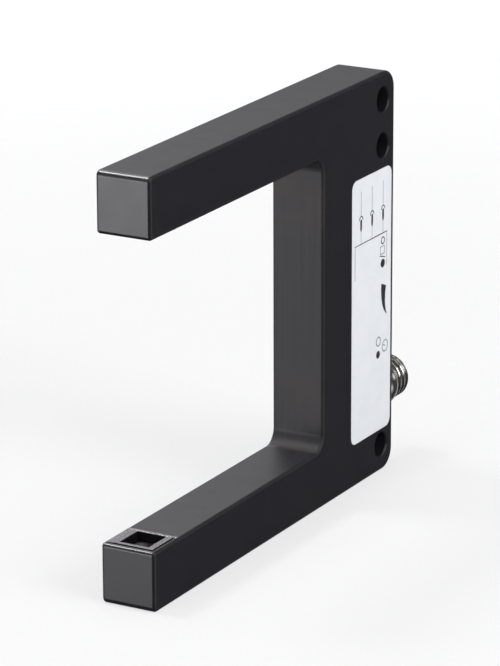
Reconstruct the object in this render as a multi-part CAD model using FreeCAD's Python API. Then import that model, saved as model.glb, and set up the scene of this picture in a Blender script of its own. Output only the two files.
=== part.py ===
import FreeCAD, Part
import math
import os

# Fork light barrier: a flat C-shaped metal housing whose two arms hold a light
# source and a light receiver that face each other across the mouth.
# Frame: +Z up, arm tips towards -X, plug towards +X, label face towards -Y.
# All sizes are in millimetres. Stations along X are counted from the arm tips.

V = FreeCAD.Vector
ALONG_X = V(1, 0, 0)
ALONG_Y = V(0, 1, 0)
ALONG_Z = V(0, 0, 1)

# Housing envelope
LENGTH = 80.0
THICKNESS = 9.6
ARM_HEIGHT = 10.0
MOUTH_WIDTH = 50.0
MOUTH_DEPTH = 55.0
EDGE_ROUND = 0.5
BACK_CORNER = 3.3
MOUTH_CORNER = 2.5
TIP_OUTER_CORNER = 0.9
TIP_INNER_CORNER = 0.6

# Walls and cover
WALL = 1.5
FLOOR = 1.5
TIP_WALL = 1.8
LEDGE = 0.6
COVER_THICKNESS = 0.8
COVER_GAP = 0.05
CAVITY_CORNER = 0.8

# Solid land round the fixing holes, and the bay behind the label
LAND_DEPTH = 9.0
BAY_BOTTOM = 18.2
BAY_TOP = 52.0

# Fixing holes
HOLE_RADIUS = 2.15
HOLE_CHAMFER = 0.22
HOLE_FROM_BACK = 4.2
OUTER_HOLE_INSET = 4.7
MIDDLE_HOLE_HEIGHT = 57.4

# Rating label
LABEL_WIDTH = 14.1
LABEL_FROM_BACK = 0.9
LABEL_BOTTOM = 7.5
LABEL_HEIGHT = 46.0
LABEL_CORNER = 1.5
LABEL_THICKNESS = 0.12
LABEL_POCKET_DEPTH = 0.15
LABEL_GAP = 0.1

# Window pocket and frame in each arm tip
AXIS_FROM_TIP = 4.5
POCKET_FRONT = 1.0
POCKET_REAR = 7.65
POCKET_SIDE_WALL = 1.0
POCKET_CHAMFER = 0.35
FRAME_GAP = 0.1
FRAME_RECESS = 0.25
OPENING_LENGTH = 5.1
OPENING_WIDTH = 5.2
OPENING_CHAMFER = 0.3

# Lens, holder and diode on the light axis
LENS_LENGTH = 5.3
LENS_WIDTH = 5.8
LENS_PLATE = 1.2
LENS_DOME_RADIUS = 2.3
LENS_DOME_HEIGHT = 0.75
HOLDER_SIDE_GAP = 0.5
HOLDER_FOOT = 1.0
DIODE_RADIUS = 1.5
DIODE_FIT = 0.05
NOSE_CLEARANCE = 1.0
NOSE_CHAMFER = 0.5
DIODE_FLANGE_RADIUS = 1.9
DIODE_FLANGE = 0.8
LEAD_SECTION = 0.5
LEAD_DROP = 0.7
LEAD_CLEARANCE = 0.4

# Circuit boards
ARM_BOARD_THICKNESS = 0.8
ARM_BOARD_START = 8.2
ARM_BOARD_OVERLAP = 5.5
ARM_BOARD_GAP = 0.3
MAIN_BOARD_THICKNESS = 1.0
MAIN_BOARD_GAP = 0.8
LEAD_ON_BOARD = 2.3
LINK_SIDE = 0.6
LINK_PITCH = 1.5
LINK_FROM_EDGE = 1.2
LINK_STANDOUT = 0.5
LINK_FIT = 0.05
ARM_REST_STATIONS = (18.0, 42.0)
ARM_REST_LENGTH = 2.4
BOARD_REST_LENGTH = 2.5
BOARD_REST_HEIGHT = 3.0
BOARD_REST_SPREAD = 14.0
BOARD_REST_CLEARANCE = 0.5

# Parts on the main board
AMPLIFIER_SIZE = (5.0, 1.5, 4.0)
CONTROLLER_SIZE = (4.0, 0.9, 4.0)
REGULATOR_SIZE = (3.0, 1.3, 2.8)
CAPACITOR_SIZE = (3.0, 1.6, 1.6)
CAPACITOR_PITCH = 3.0
CAPACITOR_COUNT = 3
RESISTOR_SIZE = (1.6, 0.5, 0.8)
RESISTOR_PITCH = 1.5
RESISTOR_COUNT = 5
RESISTOR_COLUMNS = 2
COLUMN_PITCH = 2.6
PART_CLEARANCE = 0.4
CHIP_LEG = 0.4
AMPLIFIER_OFFSET = 0.0
AMPLIFIER_LEGS = 4
CONTROLLER_OFFSET = -18.5
CONTROLLER_LEGS = 3
REGULATOR_OFFSET = 19.5
REGULATOR_LEGS = 2

# Turning adjusters behind the back wall
TRIMMER_HEIGHT = 30.5
SWITCH_HEIGHT = 22.2
ADJUSTER_SIDE = 4.6
ADJUSTER_DEPTH = 5.0
HEAD_RADIUS = 1.5
HEAD_RECESS = 0.3
COLLAR_RADIUS = 1.85
COLLAR_THICKNESS = 0.7
COLLAR_FREE_PLAY = 0.2
HUB_RADIUS = 1.1
HUB_LENGTH = 1.1
RUNNING_FIT = 0.06
STOP_LUG_ANGLE = 24.0
TRIMMER_STOP_ANGLE = 56.0
SWITCH_STOP_ANGLE = 226.0
SWITCH_TRAVEL = 90.0
DRIVER_SLOT_WIDTH = 0.6
DRIVER_SLOT_DEPTH = 0.7
TERMINAL_PITCH = 1.5
TERMINAL_WIDTH = 0.5
TERMINAL_THICKNESS = 0.4
TERMINAL_ON_BOARD = 1.2

# Indicator
INDICATOR_HEIGHT = 38.5
PIPE_RADIUS = 1.0
PIPE_FIT = 0.02
PIPE_RECESS = 0.1
PIPE_TO_LED = 0.3
LED_SIZE = (1.7, 1.1, 1.6)

# Plug
PLUG_HEIGHT = 13.0
PLUG_REACH = 8.0
PLUG_RADIUS = 3.95
PLUG_COLLAR_RADIUS = 4.35
PLUG_COLLAR_LENGTH = 3.4
PLUG_EDGE = 0.3
SHANK_RADIUS = 3.6
SHANK_LENGTH = 4.6
SHANK_FIT = 0.02
SOCKET_RADIUS = 3.0
SOCKET_DEPTH = 6.4
INSERT_TAIL_RADIUS = 2.5
INSERT_TAIL_GAP = 0.1
INSERT_TAIL_LENGTH = 1.6
KEY_WIDTH = 0.9
KEY_HEIGHT = 0.6
KEY_LENGTH = 4.0
PIN_RADIUS = 0.5
PIN_CIRCLE = 1.5
PIN_ANGLES = (90.0, 330.0, 210.0)
PIN_RECESS = 1.0
PLUG_BOARD_THICKNESS = 0.6
PLUG_BOARD_SIDE = 5.0

# How far a cutter runs past a wall, and what counts as level
CUT_PAST = 1.0
LEVEL = 1e-6

# Places worked out from the sizes above
HEIGHT = 2 * ARM_HEIGHT + MOUTH_WIDTH
MIDDLE = HEIGHT / 2
ORIGIN_FROM_TIP = (LENGTH + PLUG_REACH) / 2
LABEL_FACE = -THICKNESS / 2
COVER_FACE = THICKNESS / 2
FLOOR_Y = LABEL_FACE + FLOOR
SEAT_Y = COVER_FACE - COVER_THICKNESS
LAND_X = LENGTH - LAND_DEPTH
BACK_WALL_X = LENGTH - WALL
BRIDGE_X = MOUTH_DEPTH + WALL
CAVITY_TOP = ARM_HEIGHT - WALL
POCKET_HALF = THICKNESS / 2 - POCKET_SIDE_WALL
FRAME_HALF = POCKET_HALF - FRAME_GAP
HOLDER_HEIGHT = CAVITY_TOP - WALL - LENS_PLATE - DIODE_FLANGE - LEAD_DROP - LEAD_CLEARANCE
DIODE_BARREL = HOLDER_HEIGHT - NOSE_CLEARANCE
ARM_BOARD_END = BRIDGE_X + ARM_BOARD_OVERLAP
MAIN_BOARD_START = BRIDGE_X + MAIN_BOARD_GAP
MAIN_BOARD_END = LAND_X - MAIN_BOARD_GAP
MAIN_BOARD_Y = ARM_BOARD_THICKNESS / 2
PIN_START = MAIN_BOARD_END + PLUG_BOARD_THICKNESS


def box(x, y, z):
    """Box between two stations on each axis, each given as a pair."""
    return Part.makeBox(x[1] - x[0], y[1] - y[0], z[1] - z[0], V(x[0], y[0], z[0]))


def rod(axis, start, length, radius):
    """Round bar that starts at a point and runs along an axis."""
    return Part.makeCylinder(radius, length, start, axis)


def spun(profile, height):
    """Solid turned about the X line at a height, from (station, radius) pairs."""
    points = [V(x, 0, height + r) for x, r in profile]
    wire = Part.makePolygon(points + [points[0]])
    return Part.Face(wire).revolve(V(0, 0, height), ALONG_X, 360)


def outline(corners, y):
    """Flat face at depth y; each corner (x, z, radius) is square or rounded."""
    arcs = []
    ends = []
    count = len(corners)
    for index, (x, z, radius) in enumerate(corners):
        here = V(x, y, z)
        before = V(corners[index - 1][0], y, corners[index - 1][1])
        after = V(corners[(index + 1) % count][0], y, corners[(index + 1) % count][1])
        back = (before - here).normalize()
        ahead = (after - here).normalize()
        start = here + back * radius
        end = here + ahead * radius
        ends.append((start, end))
        if radius > 0:
            centre = here + (back + ahead) * radius
            middle = centre + (here - centre).normalize() * radius
            arcs.append(Part.Arc(start, middle, end).toShape())
        else:
            arcs.append(None)
    edges = []
    for index, arc in enumerate(arcs):
        edges.append(Part.makeLine(ends[index - 1][1], ends[index][0]))
        if arc is not None:
            edges.append(arc)
    return Part.Face(Part.Wire(edges))


def mirrored(shape):
    """Same shape for the other arm, across the middle height."""
    return shape.mirror(V(0, 0, MIDDLE), ALONG_Z)


def both_arms(shape):
    """The shape for the lower arm together with its mirror image."""
    return [shape, mirrored(shape)]


def sector(x, radii, centre_angle, width, height):
    """Part of a ring about an X line, centred on an angle from +Z."""
    corners = [V(x[0], 0, height + radii[0]), V(x[1], 0, height + radii[0]),
               V(x[1], 0, height + radii[1]), V(x[0], 0, height + radii[1])]
    section = Part.Face(Part.makePolygon(corners + [corners[0]]))
    centre = V(0, 0, height)
    piece = section.revolve(centre, ALONG_X, width)
    piece.rotate(centre, ALONG_X, centre_angle - width / 2)
    return piece


def hole_heights():
    """Heights of the three fixing holes."""
    return (OUTER_HOLE_INSET, MIDDLE_HOLE_HEIGHT, HEIGHT - OUTER_HOLE_INSET)


def cavity_face(y, margin=0.0):
    """Outline of the space for the electronics, made larger by a margin all round."""
    r = CAVITY_CORNER + margin
    tip = TIP_WALL - margin
    bridge = BRIDGE_X - margin
    land = LAND_X + margin
    back = BACK_WALL_X + margin
    low = WALL - margin
    shelf = CAVITY_TOP + margin
    corners = [
        (tip, low, r),
        (land, low, r),
        (land, BAY_BOTTOM - margin, 0),
        (back, BAY_BOTTOM - margin, r),
        (back, BAY_TOP + margin, r),
        (land, BAY_TOP + margin, 0),
        (land, HEIGHT - low, r),
        (tip, HEIGHT - low, r),
        (tip, HEIGHT - shelf, r),
        (bridge, HEIGHT - shelf, 0),
        (bridge, shelf, 0),
        (tip, shelf, r),
    ]
    return outline(corners, y)


def body_blank():
    """Solid C plate with rounded corners and softened edges on both faces."""
    corners = [
        (0, 0, TIP_OUTER_CORNER),
        (LENGTH, 0, BACK_CORNER),
        (LENGTH, HEIGHT, BACK_CORNER),
        (0, HEIGHT, TIP_OUTER_CORNER),
        (0, HEIGHT - ARM_HEIGHT, TIP_INNER_CORNER),
        (MOUTH_DEPTH, HEIGHT - ARM_HEIGHT, MOUTH_CORNER),
        (MOUTH_DEPTH, ARM_HEIGHT, MOUTH_CORNER),
        (0, ARM_HEIGHT, TIP_INNER_CORNER),
    ]
    plate = outline(corners, LABEL_FACE).extrude(V(0, THICKNESS, 0))
    rims = []
    for edge in plate.Edges:
        if edge.BoundBox.YLength < LEVEL:
            rims.append(edge)
    return plate.makeFillet(EDGE_ROUND, rims)


def fixing_hole(height):
    """Through hole along Y with a small chamfer where the screw enters."""
    x = LENGTH - HOLE_FROM_BACK
    entry = V(x, LABEL_FACE, height)
    cutter = rod(ALONG_Y, entry, THICKNESS, HOLE_RADIUS)
    wide = HOLE_RADIUS + HOLE_CHAMFER
    return cutter.fuse(Part.makeCone(wide, HOLE_RADIUS, HOLE_CHAMFER, entry, ALONG_Y))


def window_pocket():
    """Opening in the mouth side of the lower arm that takes the window frame."""
    half = POCKET_HALF
    pocket = box((POCKET_FRONT, POCKET_REAR), (-half, half), (CAVITY_TOP, ARM_HEIGHT))
    c = POCKET_CHAMFER
    rim = Part.makePolygon([
        V(POCKET_FRONT, -half, ARM_HEIGHT - c),
        V(POCKET_REAR, -half, ARM_HEIGHT - c),
        V(POCKET_REAR, half, ARM_HEIGHT - c),
        V(POCKET_FRONT, half, ARM_HEIGHT - c),
        V(POCKET_FRONT, -half, ARM_HEIGHT - c),
    ])
    mouth = Part.makePolygon([
        V(POCKET_FRONT - c, -half - c, ARM_HEIGHT),
        V(POCKET_REAR + c, -half - c, ARM_HEIGHT),
        V(POCKET_REAR + c, half + c, ARM_HEIGHT),
        V(POCKET_FRONT - c, half + c, ARM_HEIGHT),
        V(POCKET_FRONT - c, -half - c, ARM_HEIGHT),
    ])
    bevel = Part.makeLoft([rim, mouth], True, True)
    return pocket.fuse(bevel)


def housing():
    """Machined body: walls, ledge for the cover, rests, pockets and bores."""
    body = body_blank()
    cavity = cavity_face(FLOOR_Y).extrude(V(0, THICKNESS - FLOOR, 0))
    rebate = cavity_face(SEAT_Y, LEDGE).extrude(V(0, THICKNESS, 0))
    optics_seat = box((TIP_WALL, TIP_WALL + CAVITY_CORNER), (FLOOR_Y, SEAT_Y), (WALL, CAVITY_TOP))
    pockets = both_arms(window_pocket()) + both_arms(optics_seat)
    holes = [fixing_hole(height) for height in hole_heights()]
    shank_bore = rod(ALONG_X, V(LENGTH - SHANK_LENGTH, 0, PLUG_HEIGHT), SHANK_LENGTH,
                     SHANK_RADIUS + SHANK_FIT)
    tail_bore = rod(ALONG_X, V(LAND_X - CUT_PAST, 0, PLUG_HEIGHT), LAND_DEPTH,
                    INSERT_TAIL_RADIUS + INSERT_TAIL_GAP)
    wall_holes = [
        wall_hole(TRIMMER_HEIGHT, HEAD_RADIUS + RUNNING_FIT),
        wall_hole(SWITCH_HEIGHT, HEAD_RADIUS + RUNNING_FIT),
        wall_hole(INDICATOR_HEIGHT, PIPE_RADIUS + PIPE_FIT),
    ]
    label_pocket = label_outline(LABEL_GAP, LABEL_FACE).extrude(V(0, LABEL_POCKET_DEPTH, 0))
    body = body.cut([cavity, rebate, shank_bore, tail_bore, label_pocket]
                    + pockets + holes + wall_holes)
    return body.fuse(supports()).removeSplitter()


def wall_hole(height, radius):
    """Cutter for a round hole through the back wall of the bay."""
    return rod(ALONG_X, V(BACK_WALL_X - CUT_PAST, 0, height), WALL + 2 * CUT_PAST, radius)


def supports():
    """Rests for the boards and plinths for the adjusters, on the cavity's floor."""
    depth = (FLOOR_Y, MAIN_BOARD_Y)
    low = CAVITY_TOP + BOARD_REST_CLEARANCE
    inner = MIDDLE - BOARD_REST_SPREAD - BOARD_REST_HEIGHT / 2
    feet = []
    feet.extend(both_arms(box((MAIN_BOARD_END - BOARD_REST_LENGTH, MAIN_BOARD_END), depth,
                              (low, low + BOARD_REST_HEIGHT))))
    feet.extend(both_arms(box((MAIN_BOARD_START, MAIN_BOARD_START + BOARD_REST_LENGTH), depth,
                              (inner, inner + BOARD_REST_HEIGHT))))
    half = ARM_REST_LENGTH / 2
    middle = ARM_HEIGHT / 2
    for x in ARM_REST_STATIONS:
        feet.extend(both_arms(box((x - half, x + half), (FLOOR_Y, -ARM_BOARD_THICKNESS / 2),
                                  (middle - half, middle + half))))
    side = ADJUSTER_SIDE / 2
    for height in (TRIMMER_HEIGHT, SWITCH_HEIGHT):
        feet.append(box((BACK_WALL_X - ADJUSTER_DEPTH, BACK_WALL_X), (FLOOR_Y, -side),
                        (height - side, height + side)))
    return feet


def label_outline(margin, y):
    """Rounded rectangle of the label, made larger by a margin on each side."""
    right = LENGTH - LABEL_FROM_BACK + margin
    left = LENGTH - LABEL_FROM_BACK - LABEL_WIDTH - margin
    bottom = LABEL_BOTTOM - margin
    top = LABEL_BOTTOM + LABEL_HEIGHT + margin
    r = LABEL_CORNER + margin
    return outline([(left, bottom, r), (right, bottom, r), (right, top, r), (left, top, r)], y)


def rating_label():
    """Label sheet that lies in its shallow pocket."""
    y = LABEL_FACE + LABEL_POCKET_DEPTH - LABEL_THICKNESS
    return label_outline(0, y).extrude(V(0, LABEL_THICKNESS, 0))


def side_cover():
    """Flat cover that closes the cavity flush with the far face."""
    return cavity_face(SEAT_Y, LEDGE - COVER_GAP).extrude(V(0, COVER_THICKNESS, 0))


def window_frame():
    """Frame with a square opening that lies in the window pocket."""
    top = ARM_HEIGHT - FRAME_RECESS
    frame = box((POCKET_FRONT + FRAME_GAP, POCKET_REAR - FRAME_GAP),
                (-FRAME_HALF, FRAME_HALF), (CAVITY_TOP, top))
    x = (AXIS_FROM_TIP - OPENING_LENGTH / 2, AXIS_FROM_TIP + OPENING_LENGTH / 2)
    y = (-OPENING_WIDTH / 2, OPENING_WIDTH / 2)
    frame = frame.cut(box(x, y, (CAVITY_TOP, top)))
    lips = []
    for edge in frame.Edges:
        bounds = edge.BoundBox
        inside = bounds.XLength < OPENING_LENGTH + LEVEL and bounds.YLength < OPENING_WIDTH + LEVEL
        if bounds.ZMin > top - LEVEL and inside:
            lips.append(edge)
    return frame.makeChamfer(OPENING_CHAMFER, lips)


def lens():
    """Lens plate with a dome that rises into the opening."""
    x = (AXIS_FROM_TIP - LENS_LENGTH / 2, AXIS_FROM_TIP + LENS_LENGTH / 2)
    y = (-LENS_WIDTH / 2, LENS_WIDTH / 2)
    plate = box(x, y, (CAVITY_TOP - LENS_PLATE, CAVITY_TOP))
    sphere = (LENS_DOME_RADIUS ** 2 + LENS_DOME_HEIGHT ** 2) / (2 * LENS_DOME_HEIGHT)
    centre = V(AXIS_FROM_TIP, 0, CAVITY_TOP + LENS_DOME_HEIGHT - sphere)
    root = CAVITY_TOP - LENS_PLATE / 2
    reach = rod(ALONG_Z, V(AXIS_FROM_TIP, 0, root), CAVITY_TOP + LENS_DOME_HEIGHT - root,
                LENS_DOME_RADIUS)
    dome = Part.makeSphere(sphere, centre).common(reach)
    return plate.fuse(dome).removeSplitter()


def diode_base():
    """Height of the underside of the diode's flange."""
    return CAVITY_TOP - LENS_PLATE - HOLDER_HEIGHT - DIODE_FLANGE


def holder():
    """Block on two feet that holds the lens and the diode on one axis."""
    top = CAVITY_TOP - LENS_PLATE
    bottom = top - HOLDER_HEIGHT
    x = (TIP_WALL, AXIS_FROM_TIP * 2 - TIP_WALL)
    y = (FLOOR_Y, SEAT_Y - HOLDER_SIDE_GAP)
    block = box(x, y, (bottom, top))
    feet = [
        box(x, (y[0], y[0] + HOLDER_FOOT), (WALL, bottom)),
        box(x, (y[1] - HOLDER_FOOT, y[1]), (WALL, bottom)),
    ]
    bore = rod(ALONG_Z, V(AXIS_FROM_TIP, 0, bottom), HOLDER_HEIGHT, DIODE_RADIUS + DIODE_FIT)
    return block.fuse(feet).cut(bore).removeSplitter()


def diode():
    """Clear body of a diode: flange and barrel with a bevelled nose."""
    base = diode_base()
    flange = rod(ALONG_Z, V(AXIS_FROM_TIP, 0, base), DIODE_FLANGE, DIODE_FLANGE_RADIUS)
    barrel = rod(ALONG_Z, V(AXIS_FROM_TIP, 0, base), DIODE_FLANGE + DIODE_BARREL, DIODE_RADIUS)
    nose = base + DIODE_FLANGE + DIODE_BARREL
    rim = [edge for edge in barrel.Edges if edge.BoundBox.ZMin > nose - LEVEL]
    return flange.fuse(barrel.makeChamfer(NOSE_CHAMFER, rim)).removeSplitter()


def diode_leads():
    """Two square leads that drop from the diode and lie on the arm board."""
    base = diode_base()
    low = base - LEAD_DROP
    half = LEAD_SECTION / 2
    leads = []
    for side in (-1, 1):
        inner = side * ARM_BOARD_THICKNESS / 2
        outer = side * (ARM_BOARD_THICKNESS / 2 + LEAD_SECTION)
        y = (min(inner, outer), max(inner, outer))
        drop = box((AXIS_FROM_TIP - half, AXIS_FROM_TIP + half), y, (low, base))
        run = box((AXIS_FROM_TIP - half, ARM_BOARD_START + LEAD_ON_BOARD), y,
                  (low, low + LEAD_SECTION))
        leads.append(drop.fuse(run).removeSplitter())
    return Part.makeCompound(leads)


def link_places():
    """Places of the pins that join the lower arm board to the main board."""
    x = ARM_BOARD_END - LINK_FROM_EDGE
    middle = ARM_HEIGHT / 2
    return [(x, middle + step * LINK_PITCH) for step in (-1, 0, 1)]


def link_bar(x, z, y, margin):
    """Square bar between two depths, made larger by a margin on each side."""
    half = LINK_SIDE / 2 + margin
    return box((x - half, x + half), y, (z - half, z + half))


def arm_board():
    """Long narrow board from the diode to the main board."""
    half = ARM_BOARD_THICKNESS / 2
    board = box((ARM_BOARD_START, ARM_BOARD_END), (-half, half),
                (WALL + ARM_BOARD_GAP, CAVITY_TOP - ARM_BOARD_GAP))
    cuts = [link_bar(x, z, (-half, half), LINK_FIT) for x, z in link_places()]
    return board.cut(cuts)


def board_links():
    """Square pins that pass through both boards at each joint between them."""
    y = (-ARM_BOARD_THICKNESS / 2 - LINK_STANDOUT,
         MAIN_BOARD_Y + MAIN_BOARD_THICKNESS + LINK_STANDOUT)
    pins = []
    for x, z in link_places():
        pins.extend(both_arms(link_bar(x, z, y, 0)))
    return Part.makeCompound(pins)


def main_board():
    """Board in the bridge that joins both arm boards."""
    y = (MAIN_BOARD_Y, MAIN_BOARD_Y + MAIN_BOARD_THICKNESS)
    board = box((MAIN_BOARD_START, MAIN_BOARD_END), y,
                (WALL + MAIN_BOARD_GAP, HEIGHT - WALL - MAIN_BOARD_GAP))
    cuts = []
    for x, z in link_places():
        cuts.extend(both_arms(link_bar(x, z, y, LINK_FIT)))
    return board.cut(cuts)


def part_station(length):
    """Station of the middle of a part that lies along the board's inner edge."""
    return MAIN_BOARD_START + PART_CLEARANCE + length / 2


def on_board(size, x, z):
    """Block of a size (along X, off the board, along Z) on the board's label side."""
    return box((x - size[0] / 2, x + size[0] / 2), (MAIN_BOARD_Y - size[1], MAIN_BOARD_Y),
               (z - size[2] / 2, z + size[2] / 2))


def chip(size, offset, legs):
    """Moulded chip at an offset from the middle height, legs along both long sides."""
    length, height, width = size
    x = part_station(length)
    z = MIDDLE + offset
    leg = CHIP_LEG
    body = box((x - length / 2, x + length / 2),
               (MAIN_BOARD_Y - height, MAIN_BOARD_Y - leg / 2), (z - width / 2, z + width / 2))
    feet = []
    pitch = length / legs
    for index in range(legs):
        station = x - length / 2 + pitch * (index + 0.5)
        for side in (-1, 1):
            start = z + side * width / 2 - leg
            feet.append(box((station - leg / 2, station + leg / 2),
                            (MAIN_BOARD_Y - leg, MAIN_BOARD_Y), (start, start + 2 * leg)))
    return body.fuse(feet).removeSplitter()


def board_capacitors():
    """Row of like capacitors below the middle of the main board."""
    first = MIDDLE - BOARD_REST_SPREAD + CAPACITOR_PITCH
    x = part_station(CAPACITOR_SIZE[0])
    return Part.makeCompound([on_board(CAPACITOR_SIZE, x, first + index * CAPACITOR_PITCH)
                              for index in range(CAPACITOR_COUNT)])


def board_resistors():
    """Two columns of like resistors below the upper rest of the main board."""
    rest_bottom = MIDDLE + BOARD_REST_SPREAD - BOARD_REST_HEIGHT / 2
    first = rest_bottom - PART_CLEARANCE - RESISTOR_SIZE[2] / 2
    blocks = []
    for column in range(RESISTOR_COLUMNS):
        x = part_station(RESISTOR_SIZE[0]) + column * COLUMN_PITCH
        for row in range(RESISTOR_COUNT):
            blocks.append(on_board(RESISTOR_SIZE, x, first - row * RESISTOR_PITCH))
    return Part.makeCompound(blocks)


def adjuster_stations():
    """Stations of the hub's rear and of the collar's rear and front."""
    collar_front = BACK_WALL_X - COLLAR_FREE_PLAY
    collar_rear = collar_front - COLLAR_THICKNESS
    return collar_rear - HUB_LENGTH, collar_rear, collar_front


def adjuster_body(height, stop_angle, stop_centre):
    """Square body with a chamber for the rotor and a fixed stop in it."""
    hub_rear, collar_rear, _ = adjuster_stations()
    half = ADJUSTER_SIDE / 2
    block = box((BACK_WALL_X - ADJUSTER_DEPTH, BACK_WALL_X), (-half, half),
                (height - half, height + half))
    radius = COLLAR_RADIUS + RUNNING_FIT
    rear = hub_rear - RUNNING_FIT
    chamber = rod(ALONG_X, V(rear, 0, height), BACK_WALL_X - rear, radius)
    stop = sector((rear, collar_rear - RUNNING_FIT), (HUB_RADIUS + RUNNING_FIT, radius),
                  stop_centre, stop_angle, height)
    return block.cut(chamber).fuse(stop).removeSplitter()


def adjuster_rotor(height):
    """Turning piece: hub with a stop lug, collar and slotted head."""
    hub_rear, collar_rear, collar_front = adjuster_stations()
    face = LENGTH - HEAD_RECESS
    rotor = spun([
        (hub_rear, 0),
        (hub_rear, HUB_RADIUS),
        (collar_rear, HUB_RADIUS),
        (collar_rear, COLLAR_RADIUS),
        (collar_front, COLLAR_RADIUS),
        (collar_front, HEAD_RADIUS),
        (face, HEAD_RADIUS),
        (face, 0),
    ], height)
    lug = sector((hub_rear, collar_rear), (HUB_RADIUS / 2, COLLAR_RADIUS), 0, STOP_LUG_ANGLE, height)
    slot = box((face - DRIVER_SLOT_DEPTH, face),
               (-DRIVER_SLOT_WIDTH / 2, DRIVER_SLOT_WIDTH / 2),
               (height - HEAD_RADIUS, height + HEAD_RADIUS))
    return rotor.fuse(lug).cut(slot).removeSplitter()


def adjuster_terminals():
    """Flat terminals from both adjuster bodies onto the main board."""
    y = (MAIN_BOARD_Y - TERMINAL_THICKNESS, MAIN_BOARD_Y)
    x = (MAIN_BOARD_END - TERMINAL_ON_BOARD, BACK_WALL_X - ADJUSTER_DEPTH)
    strips = []
    for height in (TRIMMER_HEIGHT, SWITCH_HEIGHT):
        for step in (-1, 0, 1):
            z = height + step * TERMINAL_PITCH
            strips.append(box(x, y, (z - TERMINAL_WIDTH / 2, z + TERMINAL_WIDTH / 2)))
    return Part.makeCompound(strips)


def light_pipe():
    """Clear rod that carries the indicator's light to the back face."""
    start = MAIN_BOARD_END + PIPE_TO_LED
    return rod(ALONG_X, V(start, 0, INDICATOR_HEIGHT), LENGTH - PIPE_RECESS - start, PIPE_RADIUS)


def indicator_led():
    """Side-looking light on the edge of the main board."""
    return on_board(LED_SIZE, MAIN_BOARD_END - LED_SIZE[0] / 2, INDICATOR_HEIGHT)


def plug_sleeve():
    """Metal sleeve of the plug: shank in the wall, smooth collar, screw end."""
    rear = LENGTH - SHANK_LENGTH
    collar_end = LENGTH + PLUG_COLLAR_LENGTH
    front = LENGTH + PLUG_REACH
    return spun([
        (rear, SOCKET_RADIUS),
        (rear, SHANK_RADIUS),
        (LENGTH, SHANK_RADIUS),
        (LENGTH, PLUG_COLLAR_RADIUS),
        (collar_end, PLUG_COLLAR_RADIUS),
        (collar_end, PLUG_RADIUS),
        (front - PLUG_EDGE, PLUG_RADIUS),
        (front, PLUG_RADIUS - PLUG_EDGE),
        (front, SOCKET_RADIUS),
    ], PLUG_HEIGHT)


def pin_places():
    """Depth and height of each contact pin."""
    places = []
    for angle in PIN_ANGLES:
        turn = math.radians(angle)
        places.append((PIN_CIRCLE * math.cos(turn), PLUG_HEIGHT + PIN_CIRCLE * math.sin(turn)))
    return places


def plug_insert():
    """Moulded insert that carries the pins, with a coding key."""
    rear = LENGTH - SHANK_LENGTH
    floor = LENGTH + PLUG_REACH - SOCKET_DEPTH
    body = spun([
        (rear - INSERT_TAIL_LENGTH, 0),
        (rear - INSERT_TAIL_LENGTH, INSERT_TAIL_RADIUS),
        (rear, INSERT_TAIL_RADIUS),
        (rear, SOCKET_RADIUS - SHANK_FIT),
        (floor, SOCKET_RADIUS - SHANK_FIT),
        (floor, 0),
    ], PLUG_HEIGHT)
    bottom = PLUG_HEIGHT - SOCKET_RADIUS
    key = box((floor, floor + KEY_LENGTH), (-KEY_WIDTH / 2, KEY_WIDTH / 2),
              (bottom, bottom + KEY_HEIGHT))
    bounds = rod(ALONG_X, V(rear, 0, PLUG_HEIGHT), LENGTH, SOCKET_RADIUS - SHANK_FIT)
    holes = []
    for y, z in pin_places():
        holes.append(rod(ALONG_X, V(PIN_START, y, z), LENGTH, PIN_RADIUS + SHANK_FIT))
    return body.fuse(key.common(bounds)).cut(holes).removeSplitter()


def contact_pins():
    """Round pins from the plug's small board into the open socket."""
    end = LENGTH + PLUG_REACH - PIN_RECESS
    return Part.makeCompound([rod(ALONG_X, V(PIN_START, y, z), end - PIN_START, PIN_RADIUS)
                              for y, z in pin_places()])


def plug_board():
    """Small upright board that joins the plug's pins to the end of the main board."""
    half = PLUG_BOARD_SIDE / 2
    return box((MAIN_BOARD_END, PIN_START), (-half, half),
               (PLUG_HEIGHT - half, PLUG_HEIGHT + half))


def save(name, shape):
    """Check a shape, move it into the object's frame and write its file."""
    moved = shape.copy()
    moved.translate(V(-ORIGIN_FROM_TIP, 0, 0))
    if not moved.isValid() or moved.Volume <= 0:
        raise ValueError(name + " is not a sound solid")
    moved.exportStep("parts/" + name + ".step")


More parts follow.
